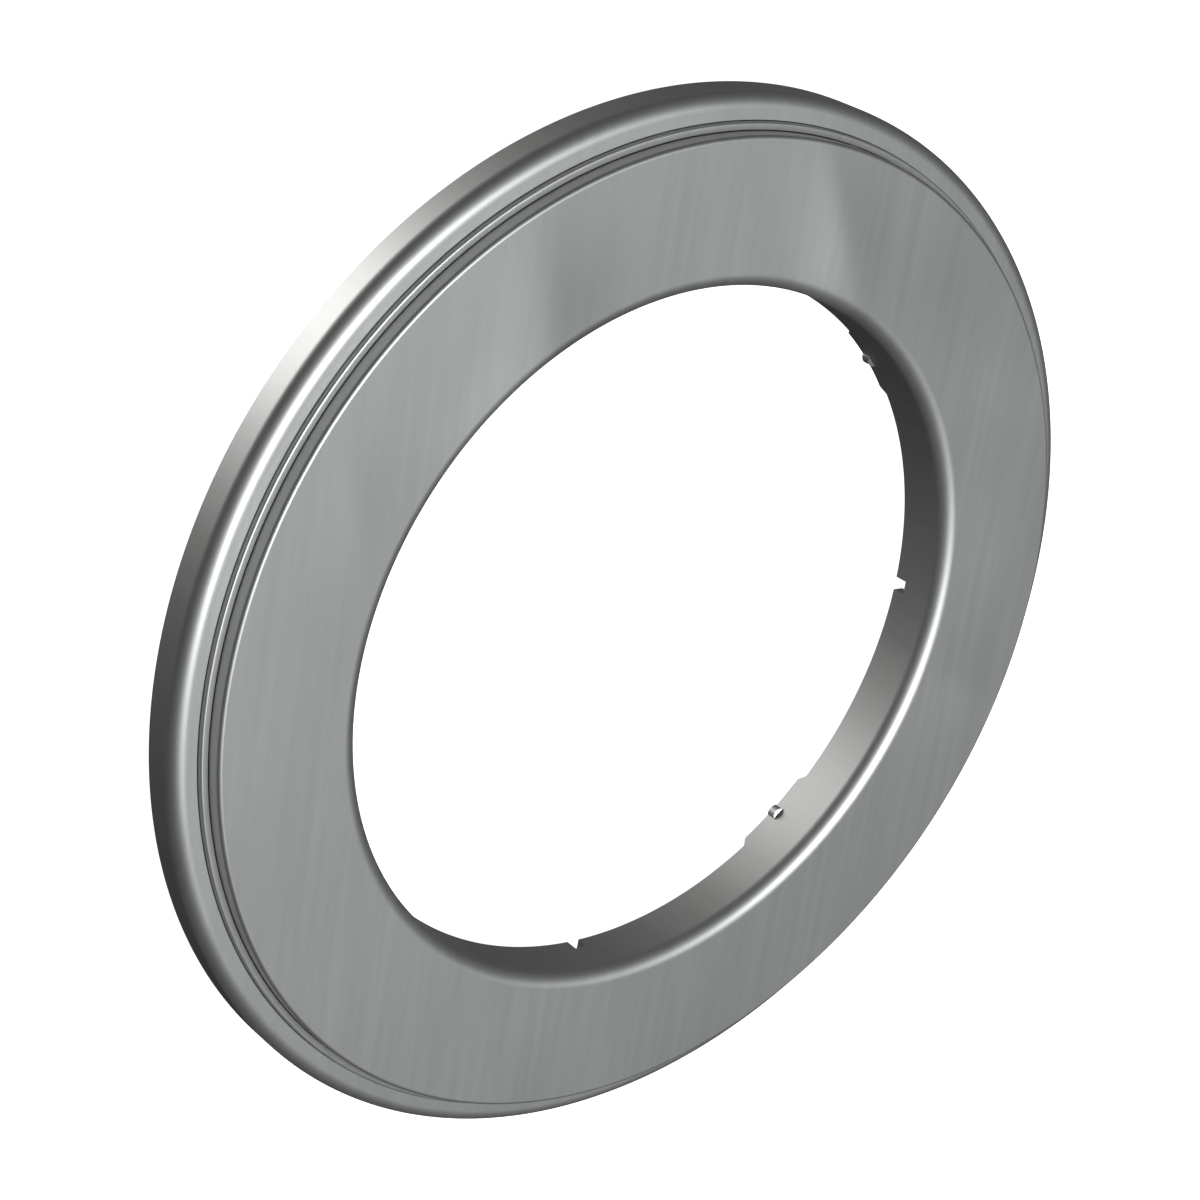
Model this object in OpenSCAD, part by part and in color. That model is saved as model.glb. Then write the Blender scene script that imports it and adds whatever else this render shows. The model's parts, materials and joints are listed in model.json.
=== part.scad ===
// Closed thrust ball bearing. The axis is +Z and the shaft side faces up.
// The origin is the bore's centre in the plane that the housing stands on.
// Lengths are in millimetres.

/* [Main sizes] */
// Diameter of the bore
bore_d = 100; // [98:1:102]
// Diameter of the rim
rim_d = 150; // [149:1:152]
// Height of the bearing without its tabs
height = 8.75; // [8.6:0.05:9]

/* [Balls] */
// Diameter of each ball
ball_d = 4.762; // [4.6:0.001:4.8]
// Play between a ball and the bottom of each groove
ball_play = 0.06; // [0.02:0.01:0.1]
// Play between a ball and its pocket
pocket_play = 0.09; // [0.05:0.01:0.1]
// Radius of each groove's section over the diameter of a ball
groove_conformity = 0.525; // [0.52:0.005:0.54]
// Depth of each groove
groove_depth = 0.7; // [0.5:0.05:0.8]

/* [Shaft washer] */
// Outer radius of the washer's face, inwards from the rim
face_inset = 4.7; // [4.5:0.05:4.7]
// Thickness of the flange that lines the bore
flange_t = 1.75; // [1.5:0.05:1.8]
// Radius of the bend from the face into the bore
bore_bend_r = 2; // [1.8:0.1:2.2]
// Radius of the face's outer edge
face_edge_r = 0.55; // [0.3:0.05:0.8]

/* [Tabs and slots] */
// Width of a tab where it leaves the flange
tab_base_w = 14; // [12:0.5:16]
// Width of a tab at its free end
tab_tip_w = 11.6; // [10:0.1:12]
// How far a tab reaches past the back plane
tab_h = 1; // [0.5:0.1:1.5]
// Width of a slot between two tabs
slot_w = 2; // [1:0.1:3]
// Depth of a slot
slot_h = 2; // [1:0.1:3]
// Radius of the nub at the middle of a tab
nub_r = 1.25; // [1.1:0.05:1.4]
// How far a nub stands into the bore
nub_rise = 0.55; // [0.3:0.05:0.7]
// Length of a nub from the tab's free end
nub_len = 1.5; // [1.2:0.1:1.8]

/* [Housing] */
// Thickness of the shell
shell_t = 1.2; // [1:0.05:1.3]
// Height of the shell's flat top
shell_top_z = 5.65; // [5.5:0.05:5.8]
// Outer radius of the shell's bend
shell_bend_r = 2; // [1.9:0.1:2.2]
// Width of the shell's flat top
shell_flat_w = 1.5; // [1.4:0.05:1.6]
// How far the seal ring stands above the shell
seal_rise = 0.9; // [0.4:0.1:1]
// Width of the seal ring's upright lip
seal_w = 0.85; // [0.6:0.05:0.85]
// Gap on each side of the seal ring's lip
seal_gap = 0.1; // [0.05:0.01:0.1]
// Radius of the seal ring's upper outer edge
seal_edge_r = 0.3; // [0.1:0.05:0.35]

/* [Cage] */
// Width of the cage
cage_w = 8.4; // [7:0.2:9]
// Height of the cage
cage_h = 2.3; // [2:0.1:2.6]

/* [Hidden] */
BALL_COUNT = 36;
TAB_COUNT = 4;

bore_r = bore_d / 2;
rim_r = rim_d / 2;
face_r = rim_r - face_inset;
flange_r = bore_r + flange_t;

// The balls run halfway up the bearing, midway between the flange and the housing's collar.
ball_r = ball_d / 2;
ball_z = height / 2;
pitch_r = (bore_r + rim_r) / 2 - 0.5;
groove_r = groove_conformity * ball_d;
groove_shift = groove_r - ball_r - ball_play;
race_reach = ball_r + ball_play - groove_depth;
plate_z = ball_z + race_reach;
race_z = ball_z - race_reach;

// The shell's flat top ends at shell_r, and the seal ring's foot is held under it.
shell_r = rim_r - shell_bend_r - shell_flat_w;
shell_bend_z = shell_top_z - shell_bend_r;
seal_r = shell_r - seal_gap;
seal_bore_r = seal_r - seal_w;
seal_foot_r = rim_r - shell_bend_r;
seal_foot_z = shell_bend_z;
seal_top_z = shell_top_z + seal_rise;

// The housing washer is pressed into the shell and clears the flange.
press_gap = 0.01;
washer_r = rim_r - shell_t - press_gap;
collar_w = 1.8;
washer_bore_r = flange_r + 0.4;
washer_chamfer = 0.4;

// Lugs on the outside of the tabs hook under a step in the housing washer's bore.
step_r = washer_bore_r + 1.1;
step_z = 0.95;
lug_r = step_r - 0.3;
lug_z = 0.15;
lug_h = 0.65;

// Each nub is pressed out of the flange, which leaves a shallow relief ahead of it.
relief_len = 0.35;

// The bore is a true cylinder down to seat_z, just above the reliefs, and opens slightly below that.
seat_z = nub_len - tab_h + relief_len + 0.1;
bore_lead = 0.1;

cage_chamfer = 0.3;
cut = 1;
$fn = 96;

function two_digits(n) = str(n < 10 ? "0" : "", n);

// Rectangle of a section, from its inner lower corner to its outer upper corner
module box2(r1, z1, r2, z2) {
    translate([r1, z1]) square([r2 - r1, z2 - z1]);
}

// Quarter of a disc about a corner, filling the side that sx and sz point to
module quarter_disc(r, z, radius, sx, sz) {
    intersection() {
        translate([r, z]) circle(r = radius);
        box2(min(r, r + sx * radius), min(z, z + sz * radius),
             max(r, r + sx * radius), max(z, z + sz * radius));
    }
}

// Repeats its children a quarter turn apart, starting at an angle
module around(count, start = 0) {
    for (k = [0:count - 1]) {
        rotate([0, 0, start + 360 * k / count]) children();
    }
}

// Wall that lines the bore, from the tabs' free ends up to the start of the bend into the face
module flange_section() {
    polygon([
        [bore_r, seat_z],
        [bore_r, height - bore_bend_r],
        [flange_r, height - bore_bend_r],
        [flange_r, -tab_h],
        [bore_r + bore_lead, -tab_h]
    ]);
}

module shaft_washer_section() {
    bend_z = height - bore_bend_r;
    difference() {
        union() {
            flange_section();
            quarter_disc(bore_r + bore_bend_r, bend_z, bore_bend_r, -1, 1);
            box2(flange_r - 0.2, plate_z, bore_r + bore_bend_r, bend_z);
            box2(bore_r + bore_bend_r, plate_z, face_r - face_edge_r, height);
            box2(face_r - face_edge_r, plate_z, face_r, height - face_edge_r);
            quarter_disc(face_r - face_edge_r, height - face_edge_r, face_edge_r, 1, 1);
        }
        translate([pitch_r, ball_z - groove_shift]) circle(r = groove_r);
    }
}

// Space that one tapered tab takes below the back plane, centred on +X
module tab_space() {
    translate([bore_r - cut, 0, 0]) rotate([90, 0, 90]) linear_extrude(flange_t + 2 * cut)
        polygon([
            [-tab_tip_w / 2, -tab_h - cut],
            [tab_tip_w / 2, -tab_h - cut],
            [tab_tip_w / 2, -tab_h],
            [tab_base_w / 2, 0],
            [tab_base_w / 2, cut],
            [-tab_base_w / 2, cut],
            [-tab_base_w / 2, 0],
            [-tab_tip_w / 2, -tab_h]
        ]);
}

// Everything below the back plane that is cut away between the tabs
module between_tabs() {
    difference() {
        translate([0, 0, -tab_h - cut]) cylinder(r = flange_r + cut / 2, h = tab_h + cut);
        around(TAB_COUNT) tab_space();
    }
}

// Lug on the outside of a tab
module lug() {
    intersection() {
        rotate_extrude() box2(flange_r - 0.2, lug_z, lug_r, lug_z + lug_h);
        translate([bore_r, -tab_tip_w / 2, 0]) cube([lug_r, tab_tip_w, height]);
    }
}

// Half-round nub on the bore side of a tab
module nub() {
    intersection() {
        translate([bore_r + nub_r - nub_rise, 0, -tab_h]) cylinder(r = nub_r, h = nub_len);
        cylinder(r = bore_r + flange_t / 2, h = 2 * nub_len, center = true);
    }
}

// Hollow that the nub's metal was pushed out of
module nub_relief() {
    translate([bore_r - nub_r + nub_rise, 0, nub_len - tab_h]) cylinder(r = nub_r, h = relief_len);
}

module slot() {
    translate([bore_r - cut, -slot_w / 2, -cut]) cube([flange_t + 2 * cut, slot_w, slot_h + cut]);
}

module shaft_washer() {
    color("darkgray")
    difference() {
        union() {
            rotate_extrude() shaft_washer_section();
            around(TAB_COUNT) {
                lug();
                nub();
            }
        }
        between_tabs();
        around(TAB_COUNT) nub_relief();
        around(TAB_COUNT, 180 / TAB_COUNT) slot();
    }
}

module seal_ring() {
    color("silver")
    rotate_extrude() {
        box2(seal_bore_r, seal_foot_z, seal_r - seal_edge_r, seal_top_z);
        box2(seal_r - seal_edge_r, seal_foot_z, seal_r, seal_top_z - seal_edge_r);
        quarter_disc(seal_r - seal_edge_r, seal_top_z - seal_edge_r, seal_edge_r, 1, 1);
        box2(seal_r, seal_foot_z, seal_foot_r, shell_top_z - shell_t);
    }
}

module housing_shell() {
    color("silver")
    rotate_extrude() {
        box2(rim_r - shell_t, 0, rim_r, shell_bend_z);
        difference() {
            quarter_disc(rim_r - shell_bend_r, shell_bend_z, shell_bend_r, 1, 1);
            translate([rim_r - shell_bend_r, shell_bend_z]) circle(r = shell_bend_r - shell_t);
        }
        box2(shell_r, shell_top_z - shell_t, rim_r - shell_bend_r, shell_top_z);
    }
}

module housing_washer() {
    color("gray")
    rotate_extrude() difference() {
        union() {
            box2(step_r, 0, washer_r, race_z);
            box2(washer_bore_r, step_z, washer_r, race_z);
            box2(washer_r - collar_w, 0, washer_r, seal_foot_z);
        }
        translate([pitch_r, ball_z + groove_shift]) circle(r = groove_r);
        translate([washer_r, 0]) rotate(45) square(washer_chamfer * sqrt(2), center = true);
    }
}

module ball_cage() {
    color("darkolivegreen")
    difference() {
        rotate_extrude() difference() {
            box2(pitch_r - cage_w / 2, ball_z - cage_h / 2, pitch_r + cage_w / 2, ball_z + cage_h / 2);
            for (side = [-1, 1], end = [-1, 1]) {
                translate([pitch_r + side * cage_w / 2, ball_z + end * cage_h / 2])
                    rotate(45) square(cage_chamfer * sqrt(2), center = true);
            }
        }
        around(BALL_COUNT) translate([pitch_r, 0, ball_z]) sphere(r = ball_r + pocket_play);
    }
}

// One ball of the set, counted anticlockwise from +X
module ball(n) {
    color("lightgray")
    rotate([0, 0, 360 * (n - 1) / BALL_COUNT]) translate([pitch_r, 0, ball_z]) sphere(r = ball_r);
}

shaft_washer();
seal_ring();
housing_shell();
housing_washer();
ball_cage();
for (n = [1:BALL_COUNT]) {
    ball(n);
}
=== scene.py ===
"""Looks of a closed thrust ball bearing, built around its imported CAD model.

Sections are drawn in millimetres, as (radius, height) points, and turned about the bearing's axis.
Lengths are turned into metres where a mesh is made.
"""
import json
import math

import bmesh
import bpy
from mathutils import Matrix, Vector


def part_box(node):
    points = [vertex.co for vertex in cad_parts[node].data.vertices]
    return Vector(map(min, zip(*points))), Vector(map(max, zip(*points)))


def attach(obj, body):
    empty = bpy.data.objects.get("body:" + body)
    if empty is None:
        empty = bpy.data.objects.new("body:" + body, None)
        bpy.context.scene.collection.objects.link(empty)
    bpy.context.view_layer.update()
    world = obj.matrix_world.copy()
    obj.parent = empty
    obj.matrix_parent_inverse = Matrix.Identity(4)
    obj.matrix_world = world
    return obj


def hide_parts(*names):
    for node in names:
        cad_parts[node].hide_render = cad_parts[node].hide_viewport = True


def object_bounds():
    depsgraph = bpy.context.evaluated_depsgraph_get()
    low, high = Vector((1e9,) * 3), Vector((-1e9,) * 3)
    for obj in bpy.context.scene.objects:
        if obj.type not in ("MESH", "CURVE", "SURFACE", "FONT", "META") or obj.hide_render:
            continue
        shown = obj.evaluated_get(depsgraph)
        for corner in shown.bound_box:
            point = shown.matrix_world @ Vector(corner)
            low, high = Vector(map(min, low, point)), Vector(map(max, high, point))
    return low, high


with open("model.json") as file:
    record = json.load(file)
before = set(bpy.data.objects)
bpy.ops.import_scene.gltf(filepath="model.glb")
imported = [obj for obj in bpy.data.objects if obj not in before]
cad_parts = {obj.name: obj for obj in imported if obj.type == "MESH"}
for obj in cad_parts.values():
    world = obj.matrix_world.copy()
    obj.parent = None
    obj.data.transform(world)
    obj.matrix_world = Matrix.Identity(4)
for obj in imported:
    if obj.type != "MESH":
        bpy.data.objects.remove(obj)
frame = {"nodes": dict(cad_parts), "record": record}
cad_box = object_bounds()

MM = 0.001
QUARTER_TURNS = 4


# ---------------------------------------------------------------- sizes from the frame, in millimetres

HEIGHT_SLACK = 0.01


def mount(name):
    """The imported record's mount of this name."""
    return next(m for m in frame["record"]["mounts"] if m["name"] == name)


def turned_points(node):
    """(radius, height) of each point of a CAD node."""
    points = [v.co for v in frame["nodes"][node].data.vertices]
    return [(math.hypot(p.x, p.y) / MM, p.z / MM) for p in points]


def outer_radius(node):
    return max(r for r, z in turned_points(node))


def bottom(node):
    return min(z for r, z in turned_points(node))


def top(node):
    return max(z for r, z in turned_points(node))


def radius_at(node, height, pick=max):
    """The largest or smallest radius of a CAD node among its points at a height."""
    return pick(r for r, z in turned_points(node) if abs(z - height) < HEIGHT_SLACK)


BORE_BEND_R = 2.0
FACE_EDGE_R = 0.55
FLANGE_T = 1.75
SHELL_T = 1.2
SHELL_BEND_R = 2.0
GROOVE_DEPTH = 0.7
BALL_PLAY = 0.06
GROOVE_CONFORMITY = 0.525

# Gap from the CAD shell to the seal ring, and the share of it that the photograph shows open
SEAL_GAP = 0.1
SEAL_OPEN_GAP = 0.07
SEAL_LIP_W = 1.0
SEAL_DROP = 0.12
SEAL_EDGE_R = 0.3

bore_r = mount("bore")["dims"]["r_mm"]
rim_r = mount("housing_rim")["dims"]["r_mm"]
flange_r = bore_r + FLANGE_T
face_r = outer_radius("shaft_washer")
face_z = top("shaft_washer")
tab_end_z = bottom("shaft_washer")

shell_top_z = top("housing_shell")
shell_bend_z = shell_top_z - SHELL_BEND_R
seal_r = radius_at("housing_shell", shell_top_z, min) - SEAL_GAP
shell_r = seal_r + SEAL_OPEN_GAP
seal_bore_r = seal_r - SEAL_LIP_W
seal_foot_r = outer_radius("seal_ring")
seal_foot_z = bottom("seal_ring")
seal_top_z = top("seal_ring") - SEAL_DROP

ball_low, ball_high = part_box("ball_01")
ball_d = (ball_high.z - ball_low.z) / MM
ball_z = (ball_high.z + ball_low.z) / 2 / MM
pitch_r = (ball_high.x + ball_low.x) / 2 / MM

race_reach = ball_d / 2 + BALL_PLAY - GROOVE_DEPTH
plate_z = ball_z + race_reach
race_z = ball_z - race_reach
groove_r = GROOVE_CONFORMITY * ball_d
groove_shift = groove_r - ball_d / 2 - BALL_PLAY
groove_end_deg = math.degrees(math.asin((race_reach + groove_shift) / groove_r))


# ---------------------------------------------------------------- sections and meshes

ROUND_STEPS = 720
ARC_STEP_DEG = 7.5
EDGE_BREAK = 0.05
SUPPORT = 0.06
TINY = 1e-6
SHARP_DEG = 32


def arc(r, z, radius, start, end):
    """Points of an arc about (r, z), from one angle to another in degrees; 0 points outwards and 90 up."""
    steps = max(2, round(abs(end - start) / ARC_STEP_DEG))
    angles = [math.radians(start + (end - start) * i / steps) for i in range(steps + 1)]
    return [(r + radius * math.cos(a), z + radius * math.sin(a)) for a in angles]


def corner(r, z, start, end, radius=EDGE_BREAK):
    """A broken outer corner at (r, z): the arc that leaves the corner's sides at these angles."""
    centre_r = r - radius * (math.cos(math.radians(start)) + math.cos(math.radians(end)))
    centre_z = z - radius * (math.sin(math.radians(start)) + math.sin(math.radians(end)))
    return arc(centre_r, centre_z, radius, start, end)


def with_supports(section):
    """The section with extra points near the ends of its long straight stretches, which keep them flat."""
    points = []
    for (r1, z1), (r2, z2) in zip(section, section[1:] + section[:1]):
        length = math.hypot(r2 - r1, z2 - z1)
        if length < TINY:
            continue
        points.append((r1, z1))
        if length > 4 * SUPPORT:
            for share in (SUPPORT / length, 1 - SUPPORT / length):
                points.append((r1 + (r2 - r1) * share, z1 + (z2 - z1) * share))
    return points


def smooth(mesh):
    """Smooth shading between the mesh's sharp edges."""
    mesh.shade_smooth()
    mesh.set_sharp_from_angle(angle=math.radians(SHARP_DEG))


def new_object(name, bm):
    """An object made from a bmesh, with its normals outwards."""
    bmesh.ops.recalc_face_normals(bm, faces=bm.faces)
    mesh = bpy.data.meshes.new(name)
    bm.to_mesh(mesh)
    bm.free()
    smooth(mesh)
    thing = bpy.data.objects.new(name, mesh)
    bpy.context.scene.collection.objects.link(thing)
    return thing


def turned(name, section):
    """A ring with this closed section, turned about the bearing's axis."""
    points = with_supports(section)
    bm = bmesh.new()
    columns = []
    for step in range(ROUND_STEPS):
        a = 2 * math.pi * step / ROUND_STEPS
        column = [(r * math.cos(a), r * math.sin(a), z) for r, z in points]
        columns.append([bm.verts.new(Vector(p) * MM) for p in column])
    for here, there in zip(columns, columns[1:] + columns[:1]):
        for i in range(len(points)):
            j = (i + 1) % len(points)
            bm.faces.new((here[i], there[i], there[j], here[j]))
    return new_object(name, bm)


def closed_wall(bm, low, high):
    """The faces between two closed loops of the same number of corners."""
    for i in range(len(low)):
        j = (i + 1) % len(low)
        bm.faces.new((low[i], low[j], high[j], high[i]))


def prism(bm, outline, low_z, high_z, degrees):
    """Adds a prism over an outline in millimetres, turned about the bearing's axis."""
    low = corners(bm, [(x, y, low_z) for x, y in outline], degrees)
    high = corners(bm, [(x, y, high_z) for x, y in outline], degrees)
    bm.faces.new(low[::-1])
    bm.faces.new(high)
    closed_wall(bm, low, high)


def corners(bm, points, degrees):
    """New corners of a bmesh at these points in millimetres, turned about the bearing's axis."""
    turn = Matrix.Rotation(math.radians(degrees), 3, "Z")
    return [bm.verts.new(turn @ Vector(p) * MM) for p in points]


def disc_part(x, radius, steps, start, end):
    """Points of a circle about (x, 0), from one angle to another in radians."""
    angles = [start + (end - start) * i / steps for i in range(steps + 1)]
    return [(x + radius * math.cos(a), radius * math.sin(a)) for a in angles]


def carve(piece, tool, operation):
    """Joins a tool's solids to a piece, or cuts them from it, and removes the tool."""
    change = piece.modifiers.new(operation, "BOOLEAN")
    change.operation = operation
    change.solver = "EXACT"
    change.object = tool
    bpy.context.view_layer.update()
    evaluated = piece.evaluated_get(bpy.context.evaluated_depsgraph_get())
    mesh = bpy.data.meshes.new_from_object(evaluated)
    piece.modifiers.clear()
    old = piece.data
    piece.data = mesh
    mesh.name = piece.name
    bpy.data.meshes.remove(old)
    bpy.data.objects.remove(tool)
    smooth(mesh)


# ---------------------------------------------------------------- shaft washer

TAB_BASE_W = 14.0
TAB_TIP_W = 11.6
SLOT_W = 2.0
SLOT_H = 2.0
CUT_MARGIN = 3.0
NUB_R = 1.25
NUB_RISE = 0.55
NUB_LEN = 1.5
NUB_STEPS = 40
NUB_SLOPE_DEG = 34
NUB_LIP = 0.12
HOLLOW_DEPTH = 0.25
HOLLOW_R = 1.15
RELIEF_LEN = 0.22
LUG_Z = 0.15
LUG_H = 0.65
LUG_ROOT = 0.3
LUG_STEPS = 24

nub_top_z = tab_end_z + NUB_LEN
nub_centre = bore_r + NUB_R - NUB_RISE
relief_centre = bore_r - NUB_R + NUB_RISE
lip_r = bore_r - NUB_LIP
lug_r = radius_at("shaft_washer", LUG_Z)


def shaft_washer_section():
    return (
        corner(bore_r, tab_end_z, 270, 180)
        + arc(bore_r + BORE_BEND_R, face_z - BORE_BEND_R, BORE_BEND_R, 180, 90)
        + arc(face_r - FACE_EDGE_R, face_z - FACE_EDGE_R, FACE_EDGE_R, 90, 0)
        + corner(face_r, plate_z, 0, -90)
        + arc(pitch_r, ball_z - groove_shift, groove_r, groove_end_deg, 180 - groove_end_deg)
        + [(flange_r, plate_z)]
        + corner(flange_r, tab_end_z, 0, -90)
    )


def gap_cutters():
    """Solids that clear away the flange's lower end between the four tabs."""
    bm = bmesh.new()
    deep = 2 * tab_end_z
    narrowing = (TAB_BASE_W - TAB_TIP_W) / 2 * deep / tab_end_z
    loops = []
    for near, z in ((TAB_BASE_W / 2 - narrowing, deep), (TAB_BASE_W / 2, 0)):
        loops.append([(near, near, z), (rim_r, near, z), (rim_r, rim_r, z), (near, rim_r, z)])
    for quarter in range(QUARTER_TURNS):
        low, high = [corners(bm, loop, 90 * quarter) for loop in loops]
        bm.faces.new(low[::-1])
        bm.faces.new(high)
        closed_wall(bm, low, high)
    return new_object("gap_cutters", bm)


def slot_cutters():
    """Solids for the four slots and for the reliefs ahead of the nubs."""
    bm = bmesh.new()
    near, far, half = bore_r - CUT_MARGIN, flange_r + CUT_MARGIN, SLOT_W / 2
    slot = [(near, -half), (far, -half), (far, half), (near, half)]
    relief = disc_part(relief_centre, NUB_R, NUB_STEPS, 0, 2 * math.pi)[:-1]
    for quarter in range(QUARTER_TURNS):
        prism(bm, slot, -SLOT_H, SLOT_H, 90 * quarter + 45)
        prism(bm, relief, nub_top_z, nub_top_z + RELIEF_LEN, 90 * quarter)
    return new_object("slot_cutters", bm)


def nub_solids():
    """The half-round nubs on the bore side of the tabs, each with its upper end sloping into the bore."""
    bm = bmesh.new()
    start = math.acos((lip_r - nub_centre) / NUB_R)
    front = disc_part(nub_centre, NUB_R, NUB_STEPS, start, 2 * math.pi - start)
    back = [(bore_r + FLANGE_T / 2, y) for y in (front[-1][1], front[0][1])]
    slope = math.tan(math.radians(NUB_SLOPE_DEG))
    low_points = [(x, y, tab_end_z) for x, y in front + back]
    high_points = [(x, y, nub_top_z - slope * max(0, lip_r - x)) for x, y in front + back]
    for quarter in range(QUARTER_TURNS):
        low = corners(bm, low_points, 90 * quarter)
        high = corners(bm, high_points, 90 * quarter)
        bm.faces.new(low[::-1])
        bm.faces.new(high[:len(front)])
        bm.faces.new([*high[len(front) - 1:], high[0]])
        closed_wall(bm, low, high)
    return new_object("nub_solids", bm)


def hollow_cutters():
    """Solids for the hollow between each nub's lip and the flange."""
    bm = bmesh.new()
    half = math.acos((lip_r - relief_centre) / HOLLOW_R)
    outline = disc_part(relief_centre, HOLLOW_R, NUB_STEPS, -half, half)
    for quarter in range(QUARTER_TURNS):
        prism(bm, outline, nub_top_z - HOLLOW_DEPTH, nub_top_z + RELIEF_LEN / 2, 90 * quarter)
    return new_object("hollow_cutters", bm)


def lug_solids():
    """The lugs on the outside of the tabs."""
    bm = bmesh.new()
    half = math.asin(TAB_TIP_W / 2 / lug_r)
    outer = disc_part(0, lug_r, LUG_STEPS, -half, half)
    inner = disc_part(0, flange_r - LUG_ROOT, LUG_STEPS, half, -half)
    for quarter in range(QUARTER_TURNS):
        prism(bm, outer + inner, LUG_Z, LUG_Z + LUG_H, 90 * quarter)
    return new_object("lug_solids", bm)


def shaft_washer():
    piece = turned("shaft_washer_steel", shaft_washer_section())
    carve(piece, gap_cutters(), "DIFFERENCE")
    carve(piece, slot_cutters(), "DIFFERENCE")
    carve(piece, nub_solids(), "UNION")
    carve(piece, hollow_cutters(), "DIFFERENCE")
    carve(piece, lug_solids(), "UNION")
    return piece


# ---------------------------------------------------------------- housing

def seal_ring():
    under_z = shell_top_z - SHELL_T
    return turned(
        "seal_ring_steel",
        corner(seal_bore_r, seal_foot_z, 270, 180)
        + corner(seal_bore_r, seal_top_z, 180, 90)
        + corner(seal_r, seal_top_z, 90, 0, SEAL_EDGE_R)
        + [(seal_r, under_z)]
        + corner(seal_foot_r, under_z, 90, 0)
        + corner(seal_foot_r, seal_foot_z, 0, -90),
    )


def housing_shell():
    bend_r = rim_r - SHELL_BEND_R
    return turned(
        "housing_shell_steel",
        corner(rim_r - SHELL_T, 0, 270, 180)
        + arc(bend_r, shell_bend_z, SHELL_BEND_R - SHELL_T, 0, 90)
        + corner(shell_r, shell_top_z - SHELL_T, 270, 180)
        + corner(shell_r, shell_top_z, 180, 90)
        + arc(bend_r, shell_bend_z, SHELL_BEND_R, 90, 0)
        + corner(rim_r, 0, 0, -90),
    )


def housing_washer():
    node = "housing_washer"
    outer_r = outer_radius(node)
    collar_z = top(node)
    collar_r = radius_at(node, collar_z, min)
    bore = radius_at(node, race_z, min)
    step_r = radius_at(node, 0, min)
    step_z = min(z for r, z in turned_points(node) if r < bore + HEIGHT_SLACK)
    chamfer = outer_r - radius_at(node, 0)
    return turned(
        "housing_washer_steel",
        corner(step_r, 0, 270, 180)
        + [(step_r, step_z)]
        + corner(bore, step_z, 270, 180)
        + corner(bore, race_z, 180, 90)
        + arc(pitch_r, ball_z + groove_shift, groove_r, groove_end_deg - 180, -groove_end_deg)
        + [(collar_r, race_z)]
        + corner(collar_r, collar_z, 180, 90)
        + corner(outer_r, collar_z, 90, 0)
        + [(outer_r, chamfer), (outer_r - chamfer, 0)],
    )


# ---------------------------------------------------------------- node materials

class Nodes:
    """A short way to write a node tree. Values are sockets or plain numbers."""

    def __init__(self, tree):
        self.tree = tree

    def add(self, kind, inputs=None, **settings):
        node = self.tree.nodes.new(kind)
        for name, value in settings.items():
            setattr(node, name, value)
        for name, value in (inputs or {}).items():
            if isinstance(value, bpy.types.NodeSocket):
                self.tree.links.new(value, node.inputs[name])
            else:
                node.inputs[name].default_value = value
        return node

    def math(self, operation, a, b=0.0, clamp=False):
        return self.add("ShaderNodeMath", {0: a, 1: b}, operation=operation, use_clamp=clamp).outputs[0]

    def vector_math(self, operation, output, **inputs):
        slots = {"a": 0, "b": 1, "scale": "Scale"}
        values = {slots[name]: value for name, value in inputs.items()}
        return self.add("ShaderNodeVectorMath", values, operation=operation).outputs[output]

    def product(self, *values):
        result = values[0]
        for value in values[1:]:
            result = self.math("MULTIPLY", result, value)
        return result

    def one_plus(self, value, amount):
        """1 plus amount times value."""
        return self.math("ADD", self.math("MULTIPLY", value, amount), 1.0)

    def about_one(self, value, amount):
        """1 plus amount times value, for a value whose middle is one half."""
        return self.one_plus(self.math("SUBTRACT", value, 0.5), amount)

    def noise(self, position, scale, detail, roughness):
        inputs = {"Vector": position, "Scale": scale, "Detail": detail, "Roughness": roughness}
        return self.add("ShaderNodeTexNoise", inputs).outputs["Fac"]

    def place(self):
        """Coordinates on the piece itself, in metres."""
        return self.add("ShaderNodeTexCoord").outputs["Object"]

    def flat_length(self, vector):
        """Length of a vector without its height."""
        flat = self.vector_math("MULTIPLY", "Vector", a=vector, b=(1.0, 1.0, 0.0))
        return self.vector_math("LENGTH", "Value", a=flat)

    def tinted(self, colour, amount):
        return self.vector_math("SCALE", "Vector", a=colour, scale=amount)

    def bump(self, height, strength, distance):
        inputs = {"Height": height, "Strength": strength, "Distance": distance}
        return self.add("ShaderNodeBump", inputs).outputs["Normal"]

    def surface(self, colour, roughness, normal, metallic):
        inputs = {"Base Color": colour, "Roughness": roughness, "Normal": normal, "Metallic": metallic}
        shader = self.add("ShaderNodeBsdfPrincipled", inputs).outputs[0]
        self.add("ShaderNodeOutputMaterial", {"Surface": shader})


def new_material(name):
    material = bpy.data.materials.new(name)
    material.use_nodes = True
    material.node_tree.nodes.clear()
    return material, Nodes(material.node_tree)


EDGE_GAIN = 4.0
EDGE_SAMPLES = 4
CREVICE_SAMPLES = 8
WALL_MARGIN = 0.02


def edge_mask(nodes, radius):
    """Nearly 1 on edges tighter than a radius, and 0 on open surfaces."""
    rounded = nodes.add("ShaderNodeBevel", {"Radius": radius}, samples=EDGE_SAMPLES).outputs["Normal"]
    plain = nodes.add("ShaderNodeNewGeometry").outputs["Normal"]
    facing = nodes.vector_math("DOT_PRODUCT", "Value", a=rounded, b=plain)
    return nodes.math("MULTIPLY", nodes.math("SUBTRACT", 1.0, facing), EDGE_GAIN, clamp=True)


def crevice_mask(nodes, distance):
    """Near 1 in tight inner corners, and 0 on open surfaces."""
    inputs = {"Distance": distance}
    open_share = nodes.add("ShaderNodeAmbientOcclusion", inputs, samples=CREVICE_SAMPLES).outputs["AO"]
    return nodes.math("SUBTRACT", 1.0, open_share)


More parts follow.
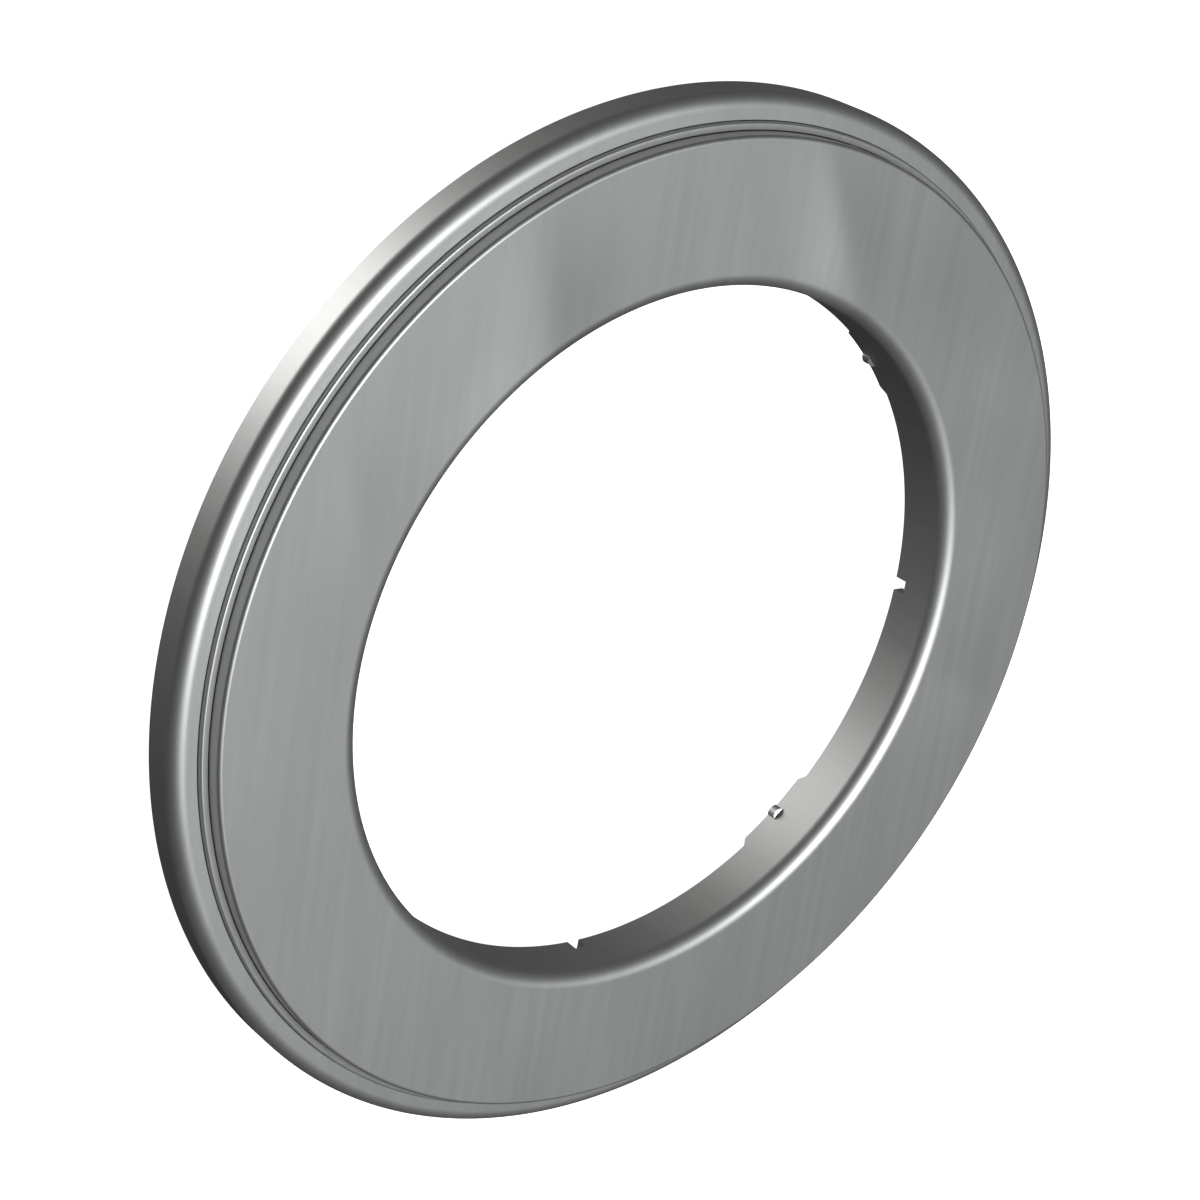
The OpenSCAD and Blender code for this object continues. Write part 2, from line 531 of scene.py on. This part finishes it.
def wall_mask(nodes, radius):
    """1 on a turned wall at this radius in millimetres, or outside it, and 0 within."""
    return nodes.math("GREATER_THAN", nodes.flat_length(nodes.place()), (radius - WALL_MARGIN) * MM)


# ---------------------------------------------------------------- brushed steel

STREAK_ANGLE = 46.5
FINE_SIZE = (9 * MM, 0.16 * MM)
STREAK_SIZE = (34 * MM, 1.3 * MM)
CLOUD_SIZE = (26 * MM, 13 * MM)
SCRATCH_SIZE = (12 * MM, 0.22 * MM)
SCRATCH_SHIFT = 2.3
FINE_SHADE = 0.06
STREAK_SHADE = 0.05
CLOUD_SHADE = 0.10
SCRATCH_START = 0.70
SCRATCH_GAIN = 12.0
SCRATCH_SHADE = 0.07
STREAK_ROUGHNESS = 0.10
WEAR_R = 0.25 * MM
WEAR_SHADE = 0.08
WEAR_POLISH = 0.03
BRUSH_STRENGTH = 0.25
BRUSH_DEPTH = 0.006 * MM
# Reach of the painted shade in tight inner corners
CREVICE_SHADE_REACH = 1.2 * MM
# Strength of the painted highlight on the washer's outer wall
WALL_SHEEN_GAIN = 0.25
PATCH_SHARPNESS = 5.0

# Painted reflections and painted shade on the washer's face, drawn into its colour so that they turn with
# the washer
FACE_PAINTED_REFLECTIONS = (
    # The two sharp-edged reflections of the photograph
    dict(x=12.2, y=55.7, length=12, width=12, degrees=60, gain=-0.04, step=0.17),
    dict(x=52.5, y=30, length=12, width=8, degrees=70, gain=0.05, step=0.21),
    dict(x=0, y=52.5, length=8, width=5, degrees=10, gain=0.13),
    dict(x=45.5, y=26, length=6, width=4, degrees=65, gain=0.10),
    # Faint ones round the face
    dict(x=-21, y=57, length=9, width=5, degrees=60, step=0.05),
    dict(x=32, y=-51, length=10, width=9, degrees=110, step=0.06),
    dict(x=61, y=-14, length=8, width=5, degrees=110, gain=0.06),
    dict(x=48, y=-36, length=9, width=7, degrees=60, gain=0.06),
    dict(x=62, y=8, length=14, width=9, degrees=90, gain=-0.07),
    # Broad, even painted light and shade
    dict(x=0, y=62, length=45, width=25, gain=-0.06),
    dict(x=25, y=-52, length=45, width=40, gain=0.13),
    dict(x=60, y=-12, length=25, width=25, gain=0.06),
    dict(x=-38, y=48, length=35, width=25, degrees=45, gain=-0.06),
    dict(x=-52, y=-32, length=35, width=25, degrees=-60, gain=0.06),
)


def streaks_of(nodes, size, shift, detail, roughness):
    """Noise drawn out into streaks of this length and width, all one way across the piece."""
    length, width = size
    inputs = {"Vector": nodes.place(), "Rotation": (0.0, 0.0, math.radians(STREAK_ANGLE))}
    along = nodes.add("ShaderNodeMapping", inputs, vector_type="TEXTURE").outputs["Vector"]
    scale = (1 / length, 1 / width, 1 / length)
    inputs = {"Vector": along, "Scale": scale, "Location": (shift, shift, 0.0)}
    stretched = nodes.add("ShaderNodeMapping", inputs).outputs["Vector"]
    return nodes.noise(stretched, 1.0, detail, roughness)


def scratch_shade(nodes, shift):
    """1, and a little less on a few fine scratches."""
    scratches = streaks_of(nodes, SCRATCH_SIZE, shift + SCRATCH_SHIFT, 1.0, 0.5)
    above = nodes.math("SUBTRACT", scratches, SCRATCH_START)
    return nodes.one_plus(nodes.math("MULTIPLY", above, SCRATCH_GAIN, clamp=True), -SCRATCH_SHADE)


def painted_reflection_patch(nodes, x, y, length, width, degrees=0, gain=0.0, step=0.0):
    """A soft oval patch of painted light about (x, y), in millimetres, that brightens the steel's colour
    by gain.

    The half to the left of the patch's direction gains step as well, and the other half loses it.
    """
    inputs = {
        "Vector": nodes.place(),
        "Location": (x * MM, y * MM, 0.0),
        "Rotation": (0.0, 0.0, math.radians(degrees)),
        "Scale": (length * MM, width * MM, 1.0),
    }
    local = nodes.add("ShaderNodeMapping", inputs, vector_type="TEXTURE").outputs["Vector"]
    distance = nodes.flat_length(local)
    bell = nodes.math("POWER", math.e, nodes.product(distance, distance, -1.0))
    across = nodes.add("ShaderNodeSeparateXYZ", {0: local}).outputs["Y"]
    side = nodes.math("TANH", nodes.math("MULTIPLY", across, PATCH_SHARPNESS))
    change = nodes.math("ADD", nodes.math("MULTIPLY", side, step), gain)
    return nodes.one_plus(bell, change)


def brushed_steel(name, brightness, roughness, shift, patches=(), crevice_shade=0.0, sheen_wall_r=None):
    """Steel with fine streaks all one way, cloudy patches of polish, painted reflections where listed, and
    slightly brighter edges.

    Painted shade darkens tight inner corners when asked, and a painted highlight makes the wall at a given
    radius a little brighter than the rest.
    """
    material, nodes = new_material(name)
    fine = streaks_of(nodes, FINE_SIZE, shift, 3.0, 0.6)
    streaks = streaks_of(nodes, STREAK_SIZE, shift, 3.0, 0.55)
    clouds = streaks_of(nodes, CLOUD_SIZE, shift, 1.0, 0.4)
    edges = edge_mask(nodes, WEAR_R)
    shades = [
        nodes.about_one(fine, FINE_SHADE),
        nodes.about_one(streaks, STREAK_SHADE),
        nodes.about_one(clouds, CLOUD_SHADE),
        nodes.one_plus(edges, WEAR_SHADE),
        scratch_shade(nodes, shift),
    ]
    # Painted reflections drawn into the colour
    shades += [painted_reflection_patch(nodes, **patch) for patch in patches]
    # Painted shade: tight inner corners drawn darker
    if crevice_shade:
        shades.append(nodes.one_plus(crevice_mask(nodes, CREVICE_SHADE_REACH), -crevice_shade))
    # Painted highlight: the wall at the given radius drawn brighter
    if sheen_wall_r:
        shades.append(nodes.one_plus(wall_mask(nodes, sheen_wall_r), WALL_SHEEN_GAIN))
    colour = nodes.tinted((1.0, 1.0, 1.0), nodes.product(brightness, *shades))
    rough = nodes.product(roughness, nodes.about_one(streaks, STREAK_ROUGHNESS))
    rough = nodes.math("SUBTRACT", rough, nodes.math("MULTIPLY", edges, WEAR_POLISH))
    nodes.surface(colour, rough, nodes.bump(fine, BRUSH_STRENGTH, BRUSH_DEPTH), metallic=1.0)
    return material


# ---------------------------------------------------------------- balls and cage

BALL_COLOUR = (0.752, 0.76, 0.775)
BALL_ROUGHNESS = 0.09
LAPPING_SIZE = 0.5 * MM
HAZE_SIZE = 3 * MM
HAZE_SHADE = 0.08
LAPPING_SWING = 0.6
LAPPING_STRENGTH = 0.1
LAPPING_DEPTH = 0.002 * MM

CAGE_COLOUR = (0.055, 0.075, 0.05)
CAGE_ROUGHNESS = 0.5
GRAIN_SIZE = 0.18 * MM
FLOW_SIZE = 6 * MM
GRAIN_SHADE = 0.2
FLOW_SHADE = 0.3
GRAIN_SWING = 0.3
GRAIN_STRENGTH = 0.4
GRAIN_DEPTH = 0.02 * MM
CAGE_WEAR_R = 0.2 * MM
CAGE_WEAR_SHADE = 0.5


def polished_balls():
    """Ground and polished bearing steel, with faint lapping marks."""
    material, nodes = new_material("ball_steel")
    marks = nodes.noise(nodes.place(), 1 / LAPPING_SIZE, 3.0, 0.6)
    haze = nodes.noise(nodes.place(), 1 / HAZE_SIZE, 2.0, 0.5)
    colour = nodes.tinted(BALL_COLOUR, nodes.about_one(haze, HAZE_SHADE))
    rough = nodes.product(BALL_ROUGHNESS, nodes.about_one(marks, LAPPING_SWING))
    nodes.surface(colour, rough, nodes.bump(marks, LAPPING_STRENGTH, LAPPING_DEPTH), metallic=1.0)
    return material


def moulded_plastic():
    """Dark glass-filled plastic, with a fine mould grain and paler edges."""
    material, nodes = new_material("cage_plastic")
    grain = nodes.noise(nodes.place(), 1 / GRAIN_SIZE, 3.0, 0.6)
    flow = nodes.noise(nodes.place(), 1 / FLOW_SIZE, 3.0, 0.55)
    shade = nodes.product(
        nodes.about_one(flow, FLOW_SHADE),
        nodes.about_one(grain, GRAIN_SHADE),
        nodes.one_plus(edge_mask(nodes, CAGE_WEAR_R), CAGE_WEAR_SHADE),
    )
    colour = nodes.tinted(CAGE_COLOUR, shade)
    rough = nodes.product(CAGE_ROUGHNESS, nodes.about_one(grain, GRAIN_SWING))
    nodes.surface(colour, rough, nodes.bump(grain, GRAIN_STRENGTH, GRAIN_DEPTH), metallic=0.0)
    return material


# ---------------------------------------------------------------- the pieces on their bodies

def dress(piece, material):
    piece.data.materials.clear()
    piece.data.materials.append(material)


def place_piece(piece, body, node, material):
    """Puts a new piece on its body, in place of a CAD node."""
    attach(piece, body)
    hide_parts(node)
    dress(piece, material)


def place_pieces():
    # The washer's face gets painted reflections, and its outer wall a painted highlight
    washer_steel = brushed_steel("shaft_washer_brushed", 0.62, 0.52, 0.0, FACE_PAINTED_REFLECTIONS, sheen_wall_r=face_r)
    back_steel = brushed_steel("housing_washer_brushed", 0.60, 0.50, 3.7)
    # The seal ring gets painted shade in its tight corners
    seal_steel = brushed_steel("seal_ring_brushed", 0.68, 0.50, 7.1, crevice_shade=1.0)
    shell_steel = brushed_steel("housing_shell_brushed", 0.64, 0.52, 11.3)
    place_piece(shaft_washer(), "shaft_side", "shaft_washer", washer_steel)
    place_piece(seal_ring(), "housing", "seal_ring", seal_steel)
    place_piece(housing_shell(), "housing", "housing_shell", shell_steel)
    place_piece(housing_washer(), "housing", "housing_washer", back_steel)


def dress_rolling_parts():
    """Materials for the cage and the balls, which are the CAD's own."""
    ball_steel = polished_balls()
    dress(frame["nodes"]["ball_cage"], moulded_plastic())
    for name, node in frame["nodes"].items():
        if name.startswith("ball_") and name != "ball_cage":
            dress(node, ball_steel)


# ---------------------------------------------------------------- floor and studio

FLOOR_HALF = 6.0
FLOOR_GAP = 0.02 * MM
FLOOR_ALBEDO = 0.85
ROOM_GLOW = 0.064
ROOM_RISE = 0.014
DARK_AZIMUTH = 272
DARK_ELEVATION = -45
DARK_DEPTH = 0.05
WHITE = (1.0, 1.0, 1.0, 1.0)


def floor():
    """A plain white floor that the metal doesn't mirror."""
    bm = bmesh.new()
    z = cad_box[0].z - FLOOR_GAP
    signs = ((-1, -1), (1, -1), (1, 1), (-1, 1))
    bm.faces.new([bm.verts.new((x * FLOOR_HALF, y * FLOOR_HALF, z)) for x, y in signs])
    plane = new_object("floor", bm)
    material, nodes = new_material("floor_white")
    matt_colour = (FLOOR_ALBEDO, FLOOR_ALBEDO, FLOOR_ALBEDO, 1.0)
    matt = nodes.add("ShaderNodeBsdfDiffuse", {"Color": matt_colour}).outputs[0]
    glow = nodes.add("ShaderNodeEmission", {"Color": WHITE, "Strength": 1.0}).outputs[0]
    both = nodes.add("ShaderNodeAddShader", {0: matt, 1: glow}).outputs[0]
    nodes.add("ShaderNodeOutputMaterial", {"Surface": both})
    dress(plane, material)
    plane.visible_glossy = False
    plane.visible_shadow = False


def direction(azimuth, elevation):
    """The unit vector this many degrees anticlockwise from +X, and this many above the horizon."""
    a, e = math.radians(azimuth), math.radians(elevation)
    return Vector((math.cos(a) * math.cos(e), math.sin(a) * math.cos(e), math.sin(e)))


def room_light(nodes):
    """Strength of the dim room: a little more from above, and less from one dark side below."""
    way = nodes.add("ShaderNodeTexCoord").outputs["Generated"]
    rise = nodes.add("ShaderNodeSeparateXYZ", {0: way}).outputs["Z"]
    dark_way = direction(DARK_AZIMUTH, DARK_ELEVATION)
    facing = nodes.vector_math("DOT_PRODUCT", "Value", a=way, b=dark_way)
    dark = nodes.math("POWER", nodes.math("MAXIMUM", facing, 0.0), 2.0)
    strength = nodes.math("ADD", nodes.math("MULTIPLY", rise, ROOM_RISE), ROOM_GLOW)
    return nodes.math("SUBTRACT", strength, nodes.math("MULTIPLY", dark, DARK_DEPTH))


def studio_world():
    """A dim studio for the metal to mirror, seen by the camera as plain white."""
    world = bpy.data.worlds.new("studio")
    world.use_nodes = True
    world.node_tree.nodes.clear()
    nodes = Nodes(world.node_tree)
    seen = nodes.add("ShaderNodeLightPath").outputs["Is Camera Ray"]
    room = nodes.add("ShaderNodeBackground", {"Color": WHITE, "Strength": room_light(nodes)}).outputs[0]
    white = nodes.add("ShaderNodeBackground", {"Color": WHITE, "Strength": 1.0}).outputs[0]
    mixed = nodes.add("ShaderNodeMixShader", {0: seen, 1: room, 2: white}).outputs[0]
    nodes.add("ShaderNodeOutputWorld", {"Surface": mixed})
    bpy.context.scene.world = world


# ---------------------------------------------------------------- lamps and camera

VIEW_AZIMUTH = 104.67
VIEW_ELEVATION = 44.33
VIEW_ROLL = 122.38
VIEW_DISTANCE = 408.78 * MM
VIEW_SHIFT_X = -4.34 * MM
VIEW_SHIFT_Y = 2.67 * MM
LENS = 89.83
SENSOR = 36.0
CLIP_START = 0.01
CLIP_END = 50.0


def lamp(name, azimuth, elevation, distance, size, irradiance, colour):
    """A round softbox that gives this much light, face on, at the bearing."""
    light = bpy.data.lights.new(name, "AREA")
    light.shape = "DISK"
    light.size = size
    light.energy = irradiance * math.pi * distance ** 2
    light.color = colour
    thing = bpy.data.objects.new(name, light)
    bpy.context.scene.collection.objects.link(thing)
    way = direction(azimuth, elevation)
    thing.location = way * distance
    thing.rotation_mode = "QUATERNION"
    thing.rotation_quaternion = (-way).to_track_quat("-Z", "Y")
    thing.visible_camera = False


def lamps():
    """One lamp almost overhead, and a broad one below, which the floor lets through."""
    lamp("key_lamp", azimuth=96.3, elevation=85.8, distance=1.5, size=0.16, irradiance=2.5,
         colour=(0.957, 1.0, 0.986))
    lamp("under_lamp", azimuth=81.1, elevation=-66.7, distance=4.0, size=1.6, irradiance=1.52,
         colour=(1.005, 1.0, 0.975))


def camera():
    """A long lens, rolled so that the bearing leans over to the right in the picture."""
    data = bpy.data.cameras.new("camera")
    data.sensor_width = SENSOR
    data.lens = LENS
    data.clip_start = CLIP_START
    data.clip_end = CLIP_END
    thing = bpy.data.objects.new("camera", data)
    bpy.context.scene.collection.objects.link(thing)
    turn = (
        Matrix.Rotation(math.radians(VIEW_AZIMUTH + 90), 4, "Z")
        @ Matrix.Rotation(math.radians(90 - VIEW_ELEVATION), 4, "X")
        @ Matrix.Rotation(math.radians(VIEW_ROLL), 4, "Z")
    )
    thing.matrix_world = turn @ Matrix.Translation((VIEW_SHIFT_X, VIEW_SHIFT_Y, VIEW_DISTANCE))
    bpy.context.scene.camera = thing


place_pieces()
dress_rolling_parts()
floor()
studio_world()
lamps()
camera()
bpy.context.scene.view_settings.view_transform = "Standard"
